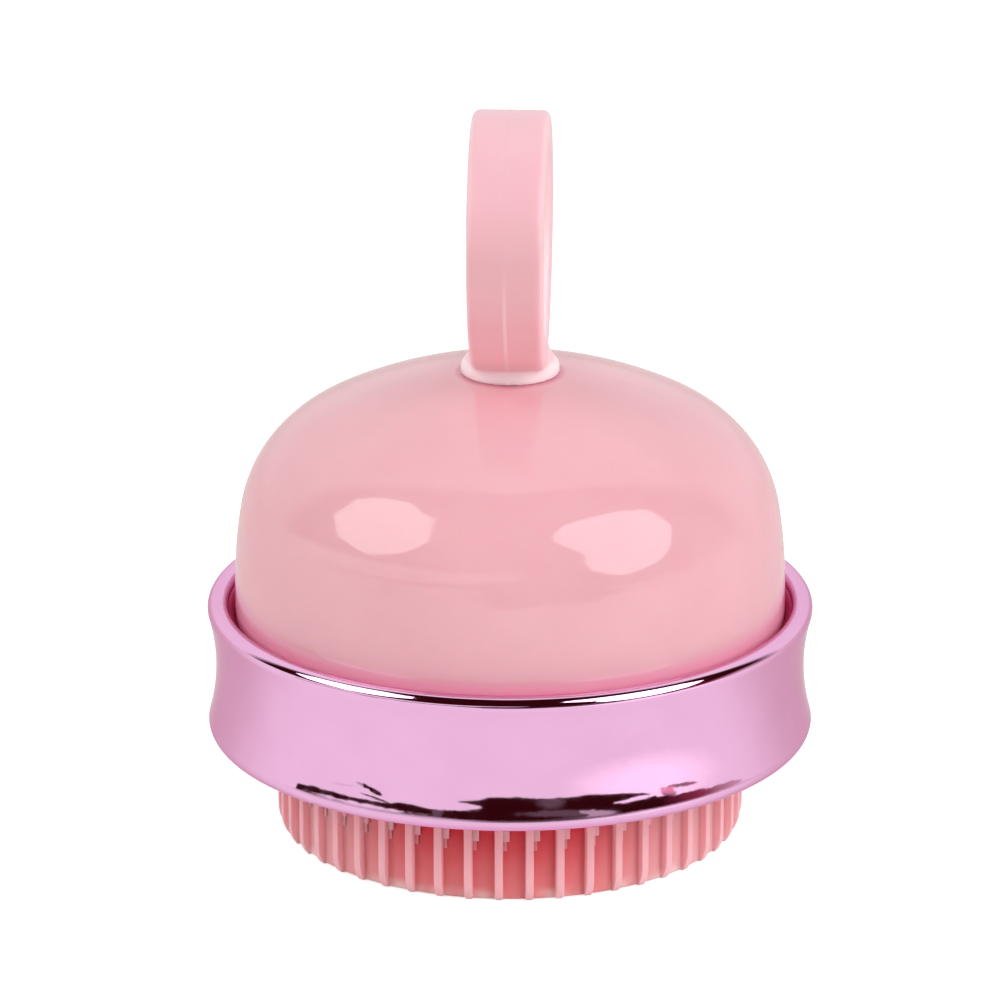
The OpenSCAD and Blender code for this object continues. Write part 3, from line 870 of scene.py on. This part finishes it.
def direction(azimuth, elevation):
    """Direction from the object: azimuth from the front towards +X, in degrees."""
    a, e = math.radians(azimuth), math.radians(elevation)
    return Vector((math.sin(a) * math.cos(e), -math.cos(a) * math.cos(e), math.sin(e)))


def bare_tree(owner):
    """The emptied node tree of a world or a material."""
    owner.use_nodes = True
    owner.node_tree.nodes.clear()
    return owner.node_tree


def build_floor():
    profile = [(r, 0) for r in (4000, 1000, 200, 0)]
    floor = mesh_object("floor", *turned(profile, segments=64, closed=False))
    floor.location.z = -FLOOR_DROP * MM
    m = Shader("floor_pale", Roughness=0.6, Specular_IOR_Level=0.2, Emission_Color=(1, 1, 1))
    rays = m.node("ShaderNodeLightPath")
    m.take(Base_Color=m.mix(m.wander(60, 3, 0, 1), (0.85, 0.85, 0.85), (0.87, 0.87, 0.87)),
           Emission_Strength=m.product(rays.outputs["Is Camera Ray"], 0.55))
    floor.data.materials.append(m.mat)
    floor.visible_glossy = False        # mirror images show the room's table instead


def softbox(name, outline, strength, tint):
    """Flat light that faces the object."""
    rays = [direction(*corner) for corner in outline]
    middle = sum(rays, Vector()).normalized()
    verts = [middle * SOFTBOX_AT] + [ray * (SOFTBOX_AT / ray.dot(middle)) for ray in rays]
    faces = [(0, k, k % len(rays) + 1) for k in range(1, len(rays) + 1)]
    obj = mesh_object(name, verts, faces)
    obj.location.z = SOFTBOX_Z * MM
    mat = bpy.data.materials.new(name + "_glow")
    n = Nodes(bare_tree(mat))
    glow = n.node("ShaderNodeEmission", {"Color": tint, "Strength": strength})
    n.node("ShaderNodeOutputMaterial", {"Surface": glow.outputs[0]})
    obj.data.materials.append(mat)
    obj.visible_camera = False
    obj.visible_shadow = False


def build_world():
    world = bpy.data.worlds.new("studio")
    bpy.context.scene.world = world
    w = Nodes(bare_tree(world), "Generated")
    x, y, z = w.xyz()
    azimuth = w.math("DEGREES", w.math("ARCTAN2", x, w.product(y, -1)))
    elevation = w.math("DEGREES", w.math("ARCSINE", z))
    # What makes edges ragged
    coarse, fine = (
        w.math("SUBTRACT", w.noise(size, detail=5, roughness=0.5), 0.5) for size in (1 / 9, 1 / 16))

    def patch(at_azimuth, at_elevation, half_w, half_h, slope, share, ragged, soft):
        """A slanted oval, from 0 outside to its share inside, with a ragged or soft edge."""
        aside = w.math("SUBTRACT", azimuth, at_azimuth)
        up = w.math("SUBTRACT", elevation, at_elevation)
        up = w.math("SUBTRACT", up, w.product(aside, slope))
        off = w.length(w.math("DIVIDE", aside, half_w), w.math("DIVIDE", up, half_h))
        off = w.math("ADD", off, w.product(fine, ragged))
        return w.product(w.grade(off, 1, 0, 1 - soft, 1 + soft), share)

    def light(colour, strength=1):
        return w.node("ShaderNodeBackground", {"Color": colour, "Strength": strength}).outputs[0]

    def choose(share, a, b):
        return w.node("ShaderNodeMixShader", {0: share, 1: a, 2: b}).outputs[0]

    # How dark the room is: its ragged lower edge, its sides, and what is lit or dark in it
    greys = [(at, ((height / EDGE_RANGE + 1) / 2,) * 3) for at, height in ROOM_EDGE]
    edge = w.spread(w.ramp(azimuth, greys), -EDGE_RANGE, EDGE_RANGE, 0, 1)
    edge = w.math("ADD", edge, w.product(coarse, EDGE_RAGGED))
    above = w.grade(w.math("SUBTRACT", elevation, edge), 0, 1, -EDGE_SOFT, EDGE_SOFT)
    middle, fade_start, fade_end = ROOM_FRONT
    from_middle = w.math("ABSOLUTE", w.math("SUBTRACT", azimuth, middle))
    dark = w.product(above, w.grade(from_middle, 1, 0, fade_start, fade_end))
    for row in ROOM_LIGHT:
        dark = w.product(dark, w.math("SUBTRACT", 1, patch(*row)))
    for row in ROOM_DARK:
        dark = w.math("MAXIMUM", dark, patch(*row))

    room_colour = w.mix(patch(*ROOM_ROSE), ROOM_COLOUR, ROSE_COLOUR)
    room_colour = w.mix(patch(*ROOM_BLUSH), room_colour, BLUSH_COLOUR)
    far = w.grade(w.math("ABSOLUTE", azimuth), 0, 1, 92, 135)
    far = w.product(far, w.grade(elevation, 1, 0, -2, 8))
    table_colour = w.mix(far, TABLE_COLOUR, TABLE_FAR)
    table_colour = w.mix(w.grade(elevation, 1, 0, -78, -38), table_colour, TABLE_UNDER)
    table = light(table_colour, w.math("ADD", patch(*TABLE_LIGHT), TABLE_BRIGHTNESS))
    room = choose(dark, table, light(room_colour))

    # A mirror image shows the room. Light that met a matt surface first comes from the plain sky
    lean = w.math("ADD", w.product(y, AMBIENT_BACK), w.product(x, AMBIENT_RIGHT))
    sky = light((1, 1, 1), w.product(w.math("ADD", lean, 1), AMBIENT))
    rays = w.node("ShaderNodeLightPath").outputs
    direct = w.math("SUBTRACT", 1, rays["Diffuse Depth"], clamp=True)
    unseen = choose(w.product(rays["Is Glossy Ray"], direct), sky, room)
    whole = choose(rays["Is Camera Ray"], unseen, light(SEEN_COLOUR))
    w.node("ShaderNodeOutputWorld", {"Surface": whole})


build_floor()
softbox("softbox_left", SOFTBOX_LEFT, strength=3.6, tint=(1, 0.985, 0.98))
softbox("softbox_right", SOFTBOX_RIGHT, strength=3.9, tint=(1, 0.985, 1.0))
build_world()


# ---- Camera ----

CAMERA_AZIMUTH = 2.8
CAMERA_ELEVATION = 19.1
CAMERA_DISTANCE = 900
CAMERA_ASIDE = -1.335       # brings the axis to its column in the picture
CAMERA_AIM_Z = 44.72
CAMERA_LENS = 245

back = direction(CAMERA_AZIMUTH, CAMERA_ELEVATION)
right = direction(CAMERA_AZIMUTH + 90, 0)
lens = bpy.data.cameras.new("camera")
lens.lens = CAMERA_LENS
lens.sensor_width = 36
lens.clip_start = 0.01
lens.clip_end = 100
camera = bpy.data.objects.new("camera", lens)
camera.rotation_mode = "QUATERNION"
camera.rotation_quaternion = (-back).to_track_quat("-Z", "Y")
aim = Vector((0, 0, CAMERA_AIM_Z)) + right * CAMERA_ASIDE
camera.location = (aim + back * CAMERA_DISTANCE) * MM
bpy.context.scene.collection.objects.link(camera)
bpy.context.scene.camera = camera
bpy.context.scene.view_settings.view_transform = "Standard"
